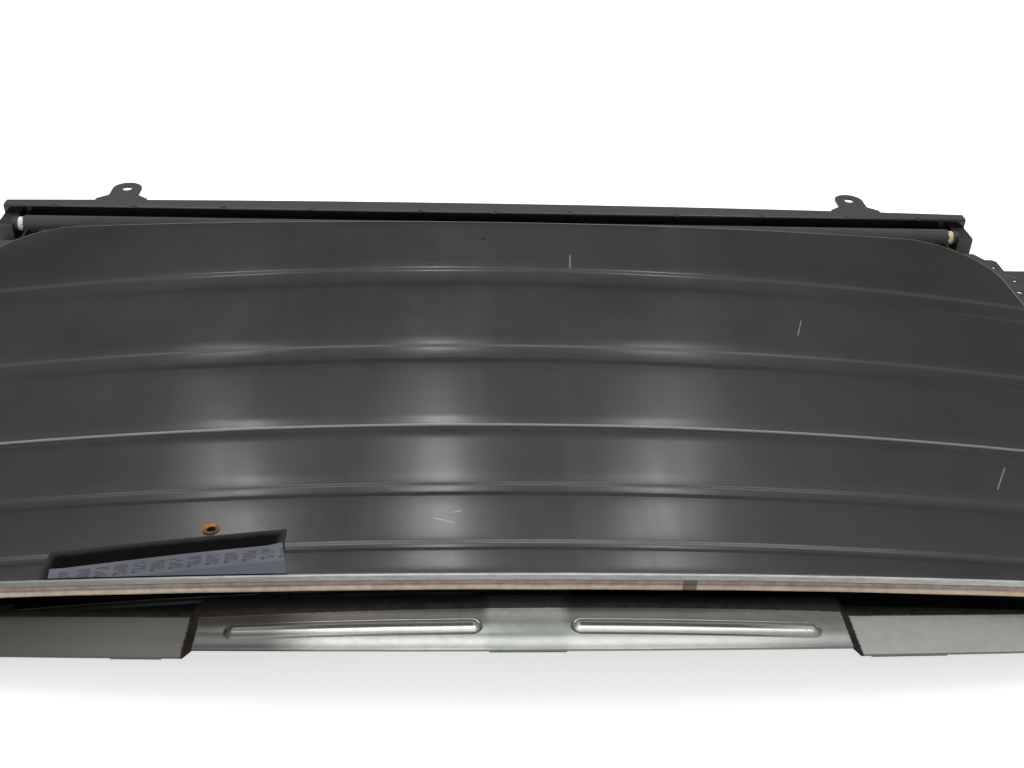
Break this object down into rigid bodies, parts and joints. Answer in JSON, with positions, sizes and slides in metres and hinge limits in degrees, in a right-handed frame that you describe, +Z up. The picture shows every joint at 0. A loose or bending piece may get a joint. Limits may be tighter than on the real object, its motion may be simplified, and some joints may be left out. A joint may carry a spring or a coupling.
{
  "type": "car sunroof assembly",
  "caption": "Car sunroof module: a crowned, grooved sliding lid that tilts and slides on side rails between two crossmembers, with a roller blind under it.",
  "frame": {"origin": "middle of the overall box in plan, on the plane the module rests on", "axes": "+X to the right across the car, +Y from the front crossmember to the roller, +Z up"},
  "size_m": [1, 0.652, 0.071],
  "materials": {
    "lid_satin": "dark grey satin coating, faint vertical sheen, light scratches",
    "black_ecoat": "gloss black dip coating on pressed steel",
    "galvanised": "galvanised pressed steel with grey-green bloom and dark dirt",
    "rail_aluminium": "extruded aluminium, black anodised, dull",
    "bare_edge": "light bare edge strip",
    "tan_seal": "tan and cream seal face, brownish above",
    "black_rubber": "black rubber",
    "black_plastic": "black moulded plastic, fine grain",
    "white_nylon": "white nylon",
    "aged_nylon": "yellowed nylon",
    "plated_steel": "zinc plated steel",
    "brass": "dull brass with rust",
    "pinion_steel": "oiled steel",
    "pad_foam": "soft black pad",
    "label_paper": "pale blue-grey sheet with plain grey bars",
    "blind_fabric": "dark grey blind cloth"
  },
  "bodies": {
    "frame": {"blind_cloth": "blind_fabric", "cable_guide": "black_plastic", "cable_tube_left": "plated_steel", "cable_tube_right": "plated_steel", "connector_socket": "black_plastic", "corner_guide_left": "black_plastic", "corner_guide_right": "black_plastic", "end_stops": "black_rubber", "front_crossmember": "galvanised", "gearbox_cover": "black_plastic", "gearbox_housing": "black_plastic", "motor_can": "plated_steel", "rear_crossmember": "black_ecoat", "roller_bush_left": "white_nylon", "roller_bush_right": "aged_nylon", "roller_holder_left": "black_plastic", "roller_holder_right": "black_plastic", "side_plate_left": "black_ecoat", "side_plate_right": "black_ecoat", "side_rail_left": "rail_aluminium", "side_rail_right": "rail_aluminium", "tube_clips": "black_plastic"},
    "carriage": {"carriage_left": "plated_steel", "carriage_right": "plated_steel", "front_shoe_left": "white_nylon", "front_shoe_right": "white_nylon", "rear_shoe_left": "white_nylon", "rear_shoe_right": "white_nylon", "pivot_pins": "plated_steel", "lever_pivots": "plated_steel"},
    "levers": {"lift_lever_left": "plated_steel", "lift_lever_right": "plated_steel"},
    "lid": {"lid_rear_skin": "lid_satin", "lid_front_skin": "lid_satin", "lid_stiffener": "black_ecoat", "parting_seal": "black_rubber", "lid_edge_seal": "black_rubber", "front_lip": "bare_edge", "front_seal": "tan_seal", "dark_pad": "pad_foam", "label_sheet": "label_paper", "threaded_bush": "brass", "lid_bracket_left": "plated_steel", "lid_bracket_right": "plated_steel"},
    "pull_bar": {"pull_bar": "rail_aluminium", "pull_bar_glide_left": "white_nylon", "pull_bar_glide_right": "white_nylon"},
    "roller": {"roller_tube": "rail_aluminium", "wound_cloth": "blind_fabric", "roller_plug_left": "plated_steel", "roller_plug_right": "plated_steel"},
    "pinion": {"drive_pinion": "pinion_steel"}
  },
  "joints": [
    {"name": "lid_slide", "type": "slide", "parent": "frame", "child": "carriage", "axis": [0, 1, 0], "range_m": [0, 0.265]},
    {"name": "lid_tilt", "type": "hinge", "parent": "carriage", "child": "lid", "pos_m": [0, -0.221, 0.029], "axis": [1, 0, 0], "range_deg": [0, 4]},
    {"name": "lever_lift", "type": "hinge", "parent": "carriage", "child": "levers", "pos_m": [0, -0.081, 0.026], "axis": [1, 0, 0], "range_deg": [0, 16.67]},
    {"name": "blind_pull", "type": "slide", "parent": "frame", "child": "pull_bar", "axis": [0, -1, 0], "range_m": [0, 0.43], "deforming": ["blind_cloth"]},
    {"name": "roller_spin", "type": "hinge", "parent": "frame", "child": "roller", "pos_m": [0, 0.256, 0.019], "axis": [1, 0, 0], "range_deg": [-2989, 0]},
    {"name": "pinion_spin", "type": "hinge", "parent": "frame", "child": "pinion", "pos_m": [0, -0.254, 0.03], "axis": [0, 0, 1], "range_deg": [-1900, 0]}
  ],
  "couplings": [
    {"joint": "lever_lift", "follows": "lid_tilt", "ratio": 4.155},
    {"joint": "roller_spin", "follows": "blind_pull", "rad_per_m": -121.21},
    {"joint": "pinion_spin", "follows": "lid_slide", "rad_per_m": -125}
  ]
}
